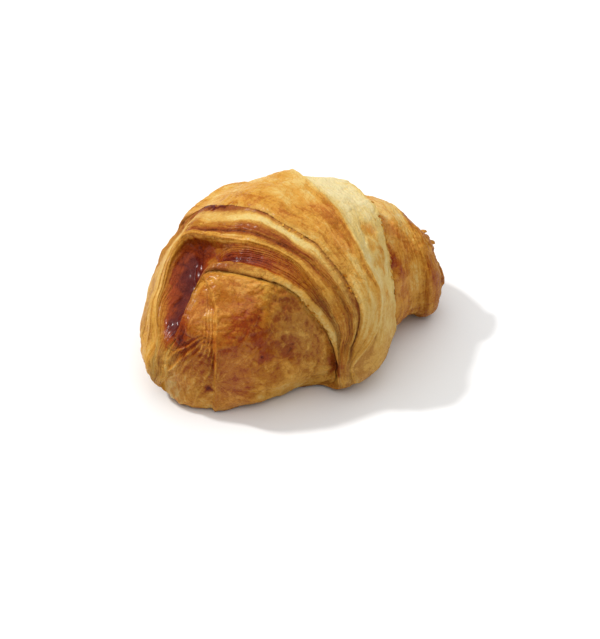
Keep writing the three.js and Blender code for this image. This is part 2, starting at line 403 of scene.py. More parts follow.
# The seam where the sheet that closes the near end was cut: pairs of mm up the face and mm across it. Its
# edge stands up, with a bead along it, and the dough dips beside it.
SEAM = ((-10, -1.9), (-6, -1.1), (9, -0.8), (15, -0.4), (26, -0.4), (31.7, -1.5), (35.4, -3), (39.2, -5.3))
SEAM_HEIGHT, SEAM_DIP, SEAM_BEAD = 0.8, 1.1, 0.4
SEAM_FADES = (-16, -8)  # over this stretch up the face
# The cut layers under the seam, closer together towards the top: how wide they are at some heights.
CUTS = {"up": (10, 24, 38), "width": (6, 5, 1.5), "layers": 4, "height": 0.4}
# The folds that fan from the seam: the middle that they run to, the degrees that they lie between, how many
# they are, from and to which radius, how high they stand and how far they curl.
FAN = {
    "middle": (0.5, 18), "from": 192, "to": 266, "folds": 7, "inner": 2, "outer": 44, "height": 0.7,
    "curl": 0.14,
}
# The wrinkles of the thin sheet beside the seam, and the stretch across the face where they begin.
WRINKLES = {"size": (3, 3, 4.6), "sharpness": 2.6, "height": 0.55, "begin": (6, 17)}
# The far end shows the rolled layers: the step from one turn to the next and its height in mm, how far it
# wanders, and how much darker the groove is painted, as painted shade.
SPIRAL = {"step": 5.8, "height": 0.9, "wander": 0.16, "browning": 0.22}
# How the relief changes the browning: what stands up is painted paler, as painted light, and what lies low
# darker, as painted shade.
RELIEF_LIGHT_AND_SHADE = {
    "bead": -0.15, "cuts": -0.12, "pleats": -0.18, "wrinkles": -0.11, "layers": -0.07, "creases": -0.05,
    "blisters": -0.03,
}
TRAY_ROUNDING = 0.7  # of the underside's edge, in mm
UNDERSIDE_BROWNING = 0.68
UNDERSIDE_ENDS = (0.2, 2.5)  # mm above the tray
CREASES_BEGIN = (4, 14)  # mm above the tray
END_FADE = 14  # how quickly the relief grows from nothing at either tip

# Darker and paler patches. On the face: across, up, half width, half height, change of browning, of glaze.
FACE_PATCHES = (
    (18, 9.5, 3.6, 5, 0.22, 0.15),
    (14.5, 16, 4, 5.5, 0.26, 0.2),
    (11, 22, 4, 4.5, 0.12, 0.3),
    (7, 12, 7, 20, 0.1, 0.35),
    (4, -12, 14, 9, 0.1, 0.1),
    (-22, -6, 10, 12, -0.1, 0.3),
    (10, 31, 6, 6, 0.02, 0.5),
    (25, 8, 5, 7, 0.08, 0.1),
    (8, 38, 14, 4, -0.12, 0.1),
    (29, 18, 11, 14, 0.22, -0.1),
    (24, -16, 10, 8, -0.1, 0),
    (0, -21, 24, 8, -0.24, 0.1),
    (10, -1, 6, 5, 0.14, 0.1),
    (7, -2, 8, 8, -0.08, 0),
    (-4, 27, 3, 9, 0.02, 0.4),
    (-16, 17.5, 9, 4, 0.18, 0.5),
    (-5, 20, 4, 7, -0.06, 0.5),
    (-19, 24, 7, 5, 0.3, 0.4),
    (-10, 7, 9, 8, 0.1, 0.15),
    # A dark spot where there is a small hole: painted shade.
    (-4.9, -5.3, 1.6, 1.2, 0.45, 0),
)
# On the roll: degrees, along, half width in degrees, half length, change of browning, of glaze.
ROLL_PATCHES = (
    (26, 0.6, 15, 0.022, 0.28, 0.3),
    (44, 0.685, 12, 0.03, 0.14, 0.2),
    (63, 0.674, 10, 0.02, 0.08, 0.3),
    (20, 0.775, 20, 0.02, 0.08, 0.1),
    (42, 0.728, 10, 0.015, 0.08, 0.1),
    (58, 0.555, 9, 0.02, 0.04, 0),
    (78, 0.475, 9, 0.02, 0.1, 0),
    (43, 0.537, 6, 0.013, 0.4, 0.2),
    (35, 0.518, 4, 0.011, 0.34, 0.2),
    (57, 0.568, 4, 0.02, 0.1, 0.5),
    (22, 0.5, 5, 0.012, 0.2, 0.2),
    (50, 0.56, 4, 0.009, 0.16, 0.1),
    (28, 0.47, 7, 0.012, 0.05, 0.2),
    (60, 0.47, 9, 0.016, 0.12, 0.3),
    (76, 0.51, 10, 0.022, 0.12, 0.3),
    (60, 0.615, 6, 0.006, 0.2, 0),
    (62, 0.5, 12, 0.02, 0.1, 0),
    (120, 0.5, 14, 0.03, 0.06, 0),
    (96, 0.5, 9, 0.018, -0.12, 0),
    (88, 0.46, 8, 0.012, 0.1, 0.2),
    (106, 0.475, 8, 0.01, 0.1, 0.2),
    (140, 0.183, 8, 0.02, 0.12, 0.3),
    (134, 0.13, 8, 0.016, 0.12, 0.3),
    (115, 0.366, 9, 0.012, -0.24, 0.1),
    # A dark strip along the top sheet's edge: painted shade in the crack.
    (125, 0.464, 8, 0.005, 0.4, 0.4),
    # A dark patch where the near face meets the foot: a painted shadow.
    (350, 0.26, 13, 0.014, 0.4, 0),
)

# Where the crust flakes: the edge, from and to in degrees, the reach either side in mm, and how much from 0
# to 1.
FLAKING = (
    ("fold", 14, 66, 0.7, 0.9),
    ("collar", 8, 80, 0.8, 0.7),
    ("nib", 40, 130, 2, 0.5),
    ("top", 30, 90, 0.8, 0.2),
    ("cuff", 150, 330, 2, 0.12),
)
FLAKING_FADE = 8  # degrees
LEAST_FLAKING = 0.04
FLAKE_OUTLINE = (
    (-0.5, -0.2), (-0.3, -0.42), (0.02, -0.36), (0.34, -0.46), (0.52, -0.1), (0.4, 0.3), (0.1, 0.44),
    (-0.34, 0.38),
)
FLAKE_THICKNESS = 0.12
FLAKE_TILT = 0.35  # at most, in radians
FLAKE_SIZES = {"Min": (0.5, 0.35, 0.7), "Max": (1.7, 1.1, 1.3)}
FLAKE_BROWNING = {"Min": 0.35, "Max": 0.85}

# Shards torn up where the far end was pulled: degrees round the roll, how far along it, length and width in
# mm, and how far each leans towards the end, in degrees.
SHARDS = (
    (84, 0.85, 1.9, 2.4, 25),
    (80, 0.862, 1.3, 2, 50),
    (73, 0.876, 2.2, 2.6, 30),
    (68, 0.884, 1.5, 2.2, 55),
    (76, 0.892, 1.2, 2, 20),
    (60, 0.893, 1.2, 2.2, 50),
)
# A shard from below its foot to its tip: how far up, and how wide as a share of its width.
SHARD_OUTLINE = ((-0.25, 1.1), (0.3, 1), (0.75, 0.8), (1, 0.5))
SHARD_CURL, SHARD_SLANT = 0.22, 0.12  # as shares of its length and width
SHARD_TIP, SHARD_TAPER = 0.16, 0.15  # half its thickness at the tip, and its gain towards the foot, in mm
SHARD_BROWNING = 0.7


def millimetres(name, description, default, least, most):
    """A length that is given here in mm."""
    return FloatProperty(
        name=name, description=description, unit="LENGTH",
        default=default * MM, min=least * MM, max=most * MM)


def colour(name, description, default):
    """A colour, as the light that it sends back from 0 to 1."""
    return FloatVectorProperty(
        name=name, description=description, default=default, size=3, min=0, max=1, subtype="COLOR")


def positive(name, description, default):
    """A number that is never below 0."""
    return FloatProperty(name=name, description=description, default=default, min=0)


class CroissantSizes(bpy.types.PropertyGroup):
    """Sizes of the crust's relief"""

    relief: FloatProperty(
        name="Relief", description="How boldly the layers stand out, 1 being as baked",
        default=1, min=0, max=1.5, subtype="FACTOR")
    layer: millimetres("Layer", "Thickness of one layer where the roll was cut", 1.5, 0.5, 5)
    lamination: millimetres("Lamination", "Height of the ridges of the cut layers", 0.34, 0, 1)
    swell: millimetres("Swell", "How unevenly the crust rose", 1, 0, 3)
    creases: millimetres("Creases", "Depth of the creases in the crust", 0.4, 0, 1)
    blisters: millimetres("Blisters", "Height of the small blisters", 0.16, 0, 1)
    waver: millimetres("Waver", "How far the edges of the layers wander", 0.8, 0, 2)


class CroissantColours(bpy.types.PropertyGroup):
    """Colours of the crust, from the palest dough to the darkest sugar"""

    cream: colour("Cream", "Dough that the oven hardly reached", (0.7, 0.55, 0.27))
    straw: colour("Straw", "Lightly baked crust", (0.66, 0.43, 0.12))
    golden: colour("Golden", "Well baked crust", (0.58, 0.28, 0.036))
    brown: colour("Brown", "Crust that browned under the egg wash", (0.41, 0.15, 0.01))
    # Caramel and Dark also stand for painted shade deep in the cracks, the groove and the hollow.
    caramel: colour("Caramel", "Sugar that caramelised between the layers", (0.27, 0.055, 0.002))
    dark: colour("Dark", "The darkest sugar, deep in the folds", (0.09, 0.009, 0.0005))


class FlakeSettings(bpy.types.PropertyGroup):
    """The loose flakes along the edges of the sheets"""

    density: positive("Density", "Flakes in a square centimetre where the crust flakes most", 55)
    size: millimetres("Size", "Width of a middling flake", 1.3, 0.2, 4)
    seed: IntProperty(
        name="Seed", description="Another number scatters the flakes another way", default=4, min=0)


class StageSettings(bpy.types.PropertyGroup):
    """The floor, the lights and the camera"""

    floor: colour("Floor", "Colour of the floor", (0.86, 0.86, 0.855))
    key: positive("Key Light", "Strength of the key light, in W per square metre", 1.9)
    overhead: positive("Overhead Light", "Strength of the soft light from above, in W per square metre", 2.25)
    surround: positive("Surround", "Brightness of the room around the stage", 0.26)
    distance: FloatProperty(
        name="Camera Distance", description="From the camera to what it aims at",
        default=0.9, min=0.1, unit="LENGTH")
    lens: FloatProperty(
        name="Lens", description="Focal length of the camera", default=126.8, min=1, unit="CAMERA")


# ---------------------------------------------------------------- helpers


def smooth(values, low, high):
    """0 below low and 1 above high, with an even blend between them."""
    share = np.clip((values - low) / (high - low), 0, 1)
    return share * share * (3 - 2 * share)


def round_the_roll(pairs, degrees, blend=3):
    """A value given at some degrees, at any degrees, blended over a few of them."""
    every = np.arange(360)
    angles, values = np.array(pairs, float).T
    found = np.interp(every, angles, values, period=360)
    found = sum(np.roll(found, shift) for shift in range(-blend, blend + 1)) / (2 * blend + 1)
    return np.interp(degrees, every, found, period=360)


def catmull_rom(points, share):
    """Points on the curve through all of the points, at shares of its length from 0 to 1."""
    last = len(points) - 1
    place = np.clip(share, 0, 1) * last
    start = np.minimum(place.astype(int), last - 1)
    step = (place - start)[..., None]
    ends = np.vstack([2 * points[0] - points[1], points, 2 * points[-1] - points[-2]])
    p0, p1, p2, p3 = (ends[start + k] for k in range(4))
    t1, t2 = (p2 - p0) / 2, (p3 - p1) / 2
    return p1 + step * t1 + step**2 * (3 * (p2 - p1) - 2 * t1 - t2) + step**3 * (2 * (p1 - p2) + t1 + t2)


class Noise:
    """Smooth random values from -1 to 1 in space, the same each time for one seed."""

    SIZE = 32

    def __init__(self, seed):
        self.lattice = np.random.default_rng(seed).uniform(-1, 1, (self.SIZE,) * 3)

    def __call__(self, points):
        cell = np.floor(points).astype(int)
        part = points - cell
        part = part**3 * (part * (part * 6 - 15) + 10)
        total = 0
        for corner in np.ndindex(2, 2, 2):
            index = (cell + corner) % self.SIZE
            weight = np.prod(np.where(corner, part, 1 - part), axis=-1)
            total = total + weight * self.lattice[index[..., 0], index[..., 1], index[..., 2]]
        return total

    def layered(self, points, octaves=3):
        """Finer and finer noise added up."""
        return sum(self(points * 2**k + 7.3 * k) / 2**k for k in range(octaves)) / (2 - 2 ** (1 - octaves))


# ---------------------------------------------------------------- the crust's shape, in mm


def roll_point(along, around):
    """A point on the smooth roll."""
    rail = catmull_rom(RAILS, along)
    cos, sin = np.cos(around), np.sin(around)
    upper = sin >= 0
    across = np.sign(cos) * np.abs(cos) ** np.where(upper, UPPER_ROUNDING[0], LOWER_ROUNDING[0])
    up = np.abs(sin) ** np.where(upper, UPPER_ROUNDING[1], LOWER_ROUNDING[1])
    inner = ((1 + across) / 2)[..., None]
    plan = rail[..., 0:2] * inner + rail[..., 2:4] * (1 - inner)
    top, under, widest = rail[..., 4], rail[..., 5] - TRAY_PRESS, rail[..., 6]
    height = widest + np.where(upper, top - widest, under - widest) * up
    return np.concatenate([plan, height[..., None]], axis=-1)


def grid_normals(points):
    """Outward normals of a grid of points whose rows go round the roll."""
    on = np.gradient(points, axis=0)
    side = np.roll(points, -1, axis=1) - np.roll(points, 1, axis=1)
    normals = np.cross(on, side)
    return normals / np.maximum(np.linalg.norm(normals, axis=-1, keepdims=True), 1e-9)


def blur(values, rows, columns):
    """Values on a grid, averaged with their neighbours this many times each way."""
    for _ in range(rows):
        padded = np.concatenate([values[:1], values, values[-1:]])
        values = (padded[:-2] + 2 * padded[1:-1] + padded[2:]) / 4
    for _ in range(columns):
        values = (np.roll(values, 1, axis=1) + 2 * values + np.roll(values, -1, axis=1)) / 4
    return values


def column_angles():
    """Radians round the roll of each column, closer together where the crust has more detail."""
    degrees = np.arange(-90, 270.5, 0.5)
    room = np.concatenate([[0], np.cumsum(round_the_roll(CLOSENESS, degrees, 8)[1:])])
    return np.radians(np.interp(np.arange(COLUMNS) / COLUMNS * room[-1], room, degrees))


def spline_weights(rows_between):
    """How much each row of the profile counts in each row of the mesh."""
    count = len(rows_between)
    places = [k + np.arange(rows) / rows for k, rows in enumerate(rows_between[:-1])]
    places = np.concatenate(places + [[count - 1]])
    weights = np.zeros((len(places), count))
    for row, place in enumerate(places):
        middle = int(round(place))
        off = place - middle
        parts = {middle - 1: (0.5 - off) ** 2 / 2, middle: 0.75 - off**2, middle + 1: (0.5 + off) ** 2 / 2}
        for index, part in parts.items():
            if index < 0:
                weights[row, 0] += 2 * part
                weights[row, 1] -= part
            elif index >= count:
                weights[row, -1] += 2 * part
                weights[row, -2] -= part
            else:
                weights[row, index] += part
    return weights


class Crust:
    """The skin of the croissant as grids: one row per ring round the roll, one column per angle.

    The two numbers that smooth() is given below are where a feature begins and where it is whole.
    """

    def __init__(self, sizes):
        self.sizes = sizes
        self.around = column_angles()
        self.degrees = np.degrees(self.around)
        self.follow_profile()
        self.find_place_on_roll()
        self.raise_layers()
        self.close_near_end()
        self.fan_out_folds()
        self.wrinkle_near_end()
        self.roll_up_far_end()
        self.add_fine_relief()
        self.rest_on_tray()
        self.add_patches()

    def random(self, seed, size, octaves=1):
        """Smooth random values from -1 to 1 over the roll, in lumps of this size in mm."""
        return Noise(seed).layered(self.roll / size, octaves)

    def raise_by(self, relief):
        """Move the crust outwards by mm at each place."""
        self.points = self.points + self.out * relief[..., None]

    def on_circle(self, radius):
        """A place on a circle for each column, so that noise read there closes round the roll."""
        return np.stack([np.cos(self.around), np.sin(self.around)], axis=-1) * radius

    def waver(self, index):
        """How far one edge wanders at each column, much as its neighbours do."""
        waves = ((2.4, 1), (6, 0.45), (14, 0.2))
        level = np.full((COLUMNS, 1), index * 0.3)
        wander = sum(Noise(23)(np.hstack([self.on_circle(radius), level])) * share for radius, share in waves)
        return wander * self.sizes.waver / MM / ROLL_LENGTH

    def edge_lines(self):
        """How far along each edge lies at each column, in order and never closer than the tightest."""
        lines = {"near": np.zeros(COLUMNS)}
        before = lines["near"]
        for index, (name, pairs) in enumerate(EDGES.items()):
            line = round_the_roll(pairs, self.degrees, 2) + self.waver(index)
            lines[name] = before = np.maximum(line, before + TIGHTEST)
        lines["far"] = np.ones(COLUMNS)
        lines["wall"] = (lines["lip"] + lines["crest"]) / 2
        return lines

    def value_round(self, value):
        """A number, or the values of one of the tables, at each column."""
        if isinstance(value, str):
            return round_the_roll(ROUND[value], self.degrees)
        return np.full(COLUMNS, value, float)

    def follow_profile(self):
        """How far along, how high, how brown, how glazed and how layered each place of the grid is."""
        self.edges = lines = self.edge_lines()
        order = list(lines.values())
        relief = self.value_round("relief") * self.sizes.relief
        profile = ROLLED_END + OUTER_SHEET + FAR_END
        along, lift, brown, glaze, layers = ([] for _ in range(5))
        for name, past, height, browning, shine, layered, _ in profile:
            line = lines[name]
            room = np.ones(COLUMNS)
            if name in EDGES:
                away = [np.abs(other - line) for other in order if other is not line]
                room = np.minimum.reduce(away) * ROOM_BY_EDGE
            if name in ("near", "far"):
                room = room * ROOM_BY_TIP
            along.append(line + np.clip(past / ROLL_LENGTH, -room, room))
            lift.append(self.value_round(height) * (1 if isinstance(height, str) else relief))
            brown.append(self.value_round(browning))
            glaze.append(self.value_round(shine))
            layers.append(self.value_round(layered))
            if name in UNDER_THE_FOOT:
                wrapped = self.value_round("foot")
                lift[-1] += (FOOT_LIFT - lift[-1]) * wrapped
                brown[-1] += (FOOT_BROWNING - brown[-1]) * wrapped
                layers[-1] *= 1 - wrapped
        weights = spline_weights([row[-1] for row in profile])
        self.along = np.clip(weights @ np.array(along), 0, 1)
        self.lift = weights @ np.array(lift)
        self.browning = weights @ np.array(brown)
        self.glaze = weights @ np.array(glaze)
        self.layers = weights @ np.array(layers)
        self.starts = np.cumsum([0] + [sum(row[-1] for row in sheet) for sheet in (ROLLED_END, OUTER_SHEET)])

    def find_place_on_roll(self):
        """Points on the smooth roll and the way out from it, at each place of the grid."""
        rings = np.linspace(0.004, 0.996, 125)
        turns = np.radians(np.arange(-90, 270, 3))
        lattice = np.meshgrid(rings, turns, indexing="ij")
        ways_out = blur(grid_normals(roll_point(*lattice)), 3, 3)
        row = np.clip((self.along - rings[0]) / (rings[1] - rings[0]), 0, len(rings) - 1.001)
        column = (self.around[None, :] - turns[0]) / (turns[1] - turns[0]) + 0 * row
        i, j = row.astype(int), column.astype(int)
        part_row, part_column = (row - i)[..., None], (column - j)[..., None]
        after = (j + 1) % len(turns)
        out = (ways_out[i, j] * (1 - part_column) + ways_out[i, after] * part_column) * (1 - part_row)
        out += (ways_out[i + 1, j] * (1 - part_column) + ways_out[i + 1, after] * part_column) * part_row
        self.out = out / np.linalg.norm(out, axis=-1, keepdims=True)
        self.roll = roll_point(self.along, self.around[None, :] + 0 * self.along)
        from_middle = self.roll - RAILS[0, [0, 1, 4]]
        self.across_face = from_middle @ FACE_ACROSS
        self.up_face = from_middle @ FACE_UP
        self.on_face = 1 - smooth(self.along, self.edges["fold"] - 0.02, self.edges["fold"])
        self.ends = np.minimum(1, END_FADE * np.minimum(self.along, 1 - self.along))
        self.top_side = smooth(self.roll[..., 2], *CREASES_BEGIN)

    def raise_layers(self):
        """Lift the skin off the smooth roll, a little unevenly, as it rose."""
        self.points = self.roll
        uneven = 0.8 * self.random(3, 15) + 0.5 * self.random(4, 7)
        self.raise_by((self.lift + uneven * self.sizes.swell / MM) * self.ends)

    def close_near_end(self):
        """The sheet over the near end: its cut edge is a seam up the face, with the cut layers beside it."""
        warp = self.random(6, 5)
        beside = self.across_face - np.interp(self.up_face, *np.transpose(SEAM)) + 0.15 * warp
        front = smooth(self.up_face, *SEAM_FADES) * self.on_face
        edge = SEAM_HEIGHT * smooth(beside, -0.5, 0.4)
        dip = SEAM_DIP * smooth(-beside, -0.2, 1) * smooth(beside, -14, -4)
        bead = SEAM_BEAD * np.exp(-(((beside - 0.3) / 0.6) ** 2))

        share = np.clip(-beside / np.interp(self.up_face, CUTS["up"], CUTS["width"]), -0.2, 1.4)
        cuts = np.abs(np.sin(np.pi * (share * CUTS["layers"] + 0.3 * warp))) - 0.5
        cuts *= smooth(share, 0.02, 0.15) * (1 - smooth(share, 0.75, 1.2)) * smooth(self.up_face, 8, 14)
        self.raise_by((edge - dip + bead + CUTS["height"] * cuts) * front)
        # The bead and the cut layers are painted paler where they stand up, as painted light.
        self.browning += RELIEF_LIGHT_AND_SHADE["bead"] * front * bead * smooth(self.up_face, -4, 6)
        self.browning += RELIEF_LIGHT_AND_SHADE["cuts"] * front * cuts

    def fan_out_folds(self):
        """The folds pressed into the near end, which fan from the seam and curl."""
        right, up = self.across_face - FAN["middle"][0], self.up_face - FAN["middle"][1]
        radius = np.hypot(right, up)
        angle = np.degrees(np.arctan2(up, right)) % 360 + 4 * self.random(5, 8)
        folds = (angle - FAN["from"]) / (FAN["to"] - FAN["from"])
        folds -= FAN["curl"] * smooth(radius, 4, FAN["outer"]) * (1 - 2 * np.clip(folds, 0, 1))
        within = smooth(folds, -0.02, 0.1) * (1 - smooth(folds, 0.96, 1.06))
        within *= smooth(radius, FAN["inner"], 3 * FAN["inner"])
        within *= 1 - smooth(radius, 0.45 * FAN["outer"], FAN["outer"])
        wave = np.abs(np.sin(np.pi * (folds * FAN["folds"] + 0.25 * self.random(9, 6))))
        uneven = 0.45 + 0.55 * smooth(self.random(7, 4), -0.5, 0.4)
        pleats = (1 - 1.7 * wave**0.6) * within * uneven * self.on_face
        self.raise_by(FAN["height"] * pleats)
        # The raised pleats are painted paler and the hollows between them darker, as painted light and shade.
        self.browning += RELIEF_LIGHT_AND_SHADE["pleats"] * pleats

    def wrinkle_near_end(self):
        """The thin sheet beside the seam wrinkled as it dried."""
        wrinkles = 1 - WRINKLES["sharpness"] * np.abs(self.random(8, WRINKLES["size"], 3))
        wrinkles *= smooth(self.across_face, *WRINKLES["begin"]) * self.on_face
        self.raise_by(WRINKLES["height"] * wrinkles)
        # The raised wrinkles are painted paler and their hollows darker, as painted light and shade.
        self.browning += RELIEF_LIGHT_AND_SHADE["wrinkles"] * wrinkles

    def roll_up_far_end(self):
        """The turns of the rolled dough, as one spiral step on the face of the far end."""
        radius = np.linalg.norm(self.roll - self.roll[-1].mean(axis=0), axis=-1)
        within = smooth(self.along, self.edges["nib"] - 0.03, self.edges["nib"]) * smooth(radius, 1, 3.5)
        turns = radius / SPIRAL["step"] + self.degrees[None, :] / 360 + SPIRAL["wander"] * self.random(19, 6)
        part = turns % 1
        step = part - smooth(part, 0.9, 1)
        groove = np.exp(-(((part - 0.97) / 0.07) ** 2)) + np.exp(-((part / 0.05) ** 2))
        self.raise_by(SPIRAL["height"] * (step - 0.5) * within)
        # The groove is painted darker, as painted shade, and the higher side of each step paler.
        self.browning += SPIRAL["browning"] * (groove - 0.3 * step) * within
        self.layers *= 1 - 0.6 * within

    def add_fine_relief(self):
        """The ridges of the cut layers, creases and blisters."""
        sizes = self.sizes
        normals = grid_normals(self.points)
        seen = (self.degrees > 20) & (self.degrees < 150)
        steps = np.linalg.norm(np.diff(self.points[:, seen], axis=0), axis=-1).mean(axis=1)
        self.layer_place = np.concatenate([[0], np.cumsum(steps)])[:, None] + 0.9 * self.random(11, 11)

        # Layers of about one thickness that fade in and out along the way.
        place = self.layer_place / (sizes.layer / MM)
        ridges = 1.5 * np.sqrt(np.abs(np.sin(np.pi * (place + 0.25 * self.random(12, 3))))) - 1
        ring = np.broadcast_to(self.on_circle(3), self.along.shape + (2,))
        sheet = np.concatenate([ring, place[..., None] * 0.6], axis=-1)
        ridges *= 0.35 + 0.65 * smooth(Noise(14)(sheet), -0.5, 0.5)
        finer = 1 - 2 * np.abs(Noise(13)(sheet * (1.6, 1.6, 3.4))) ** 0.7
        layered = (ridges + 0.5 * finer) * self.layers

        creases = Noise(18).layered(self.roll / 5.5 + 0.4 * self.out, 2)
        creases = (np.minimum(np.abs(creases) * 5, 1) - 0.7) * (1 - 0.6 * self.layers)
        blisters = self.random(17, 2.6, 2)
        relief = layered * sizes.lamination + creases * sizes.creases * (0.3 + 0.7 * self.top_side)
        relief = (relief + blisters * sizes.blisters) / MM * self.ends
        self.points = self.points + normals * relief[..., None]
        # Layer ridges and blisters are painted paler and the crease hollows darker, as painted light and
        # shade.
        self.browning += RELIEF_LIGHT_AND_SHADE["layers"] * layered + RELIEF_LIGHT_AND_SHADE["creases"] * (creases - 0.2)
        self.browning += RELIEF_LIGHT_AND_SHADE["blisters"] * blisters

    def rest_on_tray(self):
        """The underside is flat where it lay on the tray, with a slightly rounded edge."""
        height = self.points[..., 2]
        underneath = 1 - smooth(height, *UNDERSIDE_ENDS)
        self.points[..., 2] = (height + np.sqrt(height**2 + TRAY_ROUNDING**2)) / 2
        self.browning += (UNDERSIDE_BROWNING - self.browning) * underneath
        self.glaze *= 1 - underneath

    def add_patches(self):
        """Browning and glaze of the single patches on the crust, which have ragged outlines."""
        ragged = [2.2 * self.random(seed, 6) + 1.1 * self.random(seed + 1, 2.2) for seed in (31, 33)]
        right, up = self.across_face + ragged[0], self.up_face + ragged[1]
        degrees, along = self.degrees[None, :] + 1.5 * ragged[0], self.along + ragged[1] / ROLL_LENGTH
        for middle_right, middle_up, width, height, brown, shine in FACE_PATCHES:
            reach = np.hypot((right - middle_right) / width, (up - middle_up) / height)
            self.stain(np.exp(-(reach**2)) * self.on_face, brown, shine)
        for middle_degrees, middle_along, width, length, brown, shine in ROLL_PATCHES:
            off = (degrees - middle_degrees + 180) % 360 - 180
            reach = np.hypot(off / width, (along - middle_along) / length)
            self.stain(np.exp(-(reach**2)), brown, shine)
        self.browning = np.clip(self.browning, 0, 1)
        self.glaze = np.clip(self.glaze, 0, 1)

    def stain(self, strength, brown, shine):
        """Change the browning and the glaze where the strength from 0 to 1 says."""
        self.browning += brown * strength
        self.glaze += shine * strength

    def flaking(self):
        """How readily the crust flakes at each place, from 0 to 1."""
        total = np.zeros(self.along.shape)
        for name, low, high, reach, amount in FLAKING:
            off = (self.along - self.edges[name]) * ROLL_LENGTH / reach
            within = smooth(self.degrees, low, low + FLAKING_FADE)
            within = within * (1 - smooth(self.degrees, high - FLAKING_FADE, high))
            total = np.maximum(total, amount * within * np.exp(-(off**2)))
        return total

    def nearest(self, degrees, along):
        """The row and column of the grid nearest to a place on the roll."""
        column = int(np.argmin(np.abs(self.degrees - degrees)))
        return int(np.argmin(np.abs(self.along[:, column] - along))), column

    def sheet(self, index):
        """One sheet of dough as a closed body: its end points and grid, and the same for its other values."""
        starts = list(self.starts) + [len(self.along)]
        last = len(self.starts) - 1
        rows = slice(starts[index], starts[index + 1] + (index < last))
        ring = np.broadcast_to(self.on_circle(30)[None], self.along.shape + (2,))
        place = np.concatenate([ring, self.layer_place[..., None]], axis=-1) * MM
        values = {
            "points": self.points, "browning": self.browning, "glaze": self.glaze, "layering": self.layers,
            "layer_place": place,
        }
        values = {name: value[rows] for name, value in values.items()}
        # An end that lies under another sheet turns in first, so that the two overlap.
        turned_in = values["points"] - self.out[rows] * HIDDEN_OVERLAP
        inner = {**values, "points": turned_in}
        if index > 0:
            values = {name: np.concatenate([inner[name][:1], value]) for name, value in values.items()}
        if index < last:
            values = {name: np.concatenate([value, inner[name][-1:]]) for name, value in values.items()}
        return values.pop("points"), values


# ---------------------------------------------------------------- from grids to a mesh, in metres


def turn_to_frame(points, box):
    """From mm on the roll to metres in the frame, with the middle of the box where the CAD solid has it."""
    low, high = box
    solid_low, solid_high = (np.array(corner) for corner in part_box("croissant"))
    shift = (solid_low + solid_high - low - high) / 2
    shift[2] = solid_low[2] - low[2]
    return turn(points) + shift


def turn(points):
    """From mm as the dough was rolled to metres along the CAD solid's axes."""
    cos, sin = math.cos(ROLL_TURN), math.sin(ROLL_TURN)
    return points @ np.array(((cos, sin, 0), (-sin, cos, 0), (0, 0, 1))) * MM


def grid_quads(index):
    """Faces of a grid closed round its columns, from the number of each of its points."""
    after = np.roll(index, -1, axis=1)
    return np.stack([index[:-1], index[1:], after[1:], after[:-1]], axis=-1)


def closed_faces(rows, columns):
    """Faces of a grid closed round its columns, with one point at each end."""
    index = 1 + np.arange(rows * columns).reshape(rows, columns)
    after = np.roll(index, -1, axis=1)
    near = [(0, int(a), int(b)) for a, b in zip(index[0], after[0])]
    last = rows * columns + 1
    far = [(last, int(b), int(a)) for a, b in zip(index[-1], after[-1])]
    return near + grid_quads(index).reshape(-1, 4).tolist() + far


def with_ends(grid):
    """Grid values in one list, with the mean of the first and of the last ring as the end points."""
    flat = grid.reshape(-1, *grid.shape[2:])
    return np.concatenate([grid[:1].mean(axis=1), flat, grid[-1:].mean(axis=1)])


def new_piece(name, points, faces):
    """An object in the scene whose mesh has these points, in metres, and these faces, shaded smooth."""
    mesh = bpy.data.meshes.new(name)
    mesh.from_pydata(points.tolist(), [], faces)
    mesh.validate()
    piece = bpy.data.objects.new(name, mesh)
    bpy.context.scene.collection.objects.link(piece)
    mesh.polygons.foreach_set("use_smooth", [True] * len(mesh.polygons))
    return piece


def add_attribute(mesh, name, values):
    """Numbers or vectors on the points of a mesh, for the materials and the scattering to read."""
    kind = "FLOAT_VECTOR" if values.ndim == 2 else "FLOAT"
    attribute = mesh.attributes.new(name, kind, "POINT")
    attribute.data.foreach_set("vector" if values.ndim == 2 else "value", values.astype(np.float32).ravel())


def flake_mesh():
    """One flake of unit width: a thin curled sheet of crust with a ragged outline."""
    corners = [
        (x, y, 0.5 * x * x - 0.3 * x * y + height)
        for height in (0, FLAKE_THICKNESS) for x, y in (*FLAKE_OUTLINE, (0, 0))
    ]
    middle = len(FLAKE_OUTLINE)
    above = middle + 1
    faces = []
    for k in range(middle):
        after = (k + 1) % middle
        faces.append((middle, after, k))
        faces.append((above + middle, above + k, above + after))
        faces.append((k, after, above + after, above + k))
    mesh = bpy.data.meshes.new("flake")
    mesh.from_pydata(corners, [], faces)
    mesh.validate()
    return mesh


def shard(foot, out, onward, length, width, lean):
    """A torn shard of crust that stands up from its foot: its points in mm, and its faces."""
    aside = np.cross(out, onward)
    up = out * math.cos(math.radians(lean)) + onward * math.sin(math.radians(lean))
    back = np.cross(aside, up)
    points = []
    for share, wide in SHARD_OUTLINE:
        middle = foot + up * (share * length) + back * (SHARD_CURL * length * share**2)
        thick = SHARD_TIP + SHARD_TAPER * (1 - share)
        half = wide * width / 2
        slant = SHARD_SLANT * width * share
        for right, deep in ((-1, -1), (1, -1), (1, 1), (-1, 1)):
            points.append(middle + aside * (right * half + slant) + back * (deep * thick))
    tip = len(points) - 4
    faces = [(3, 2, 1, 0), (tip, tip + 1, tip + 2, tip + 3)]
    # Four sides from each ring of four points to the next.
    for ring in range(0, tip, 4):
        for k in range(4):
            after = (k + 1) % 4
            faces.append((ring + k, ring + after, ring + 4 + after, ring + 4 + k))
    return points, faces


# ---------------------------------------------------------------- scattering the flakes


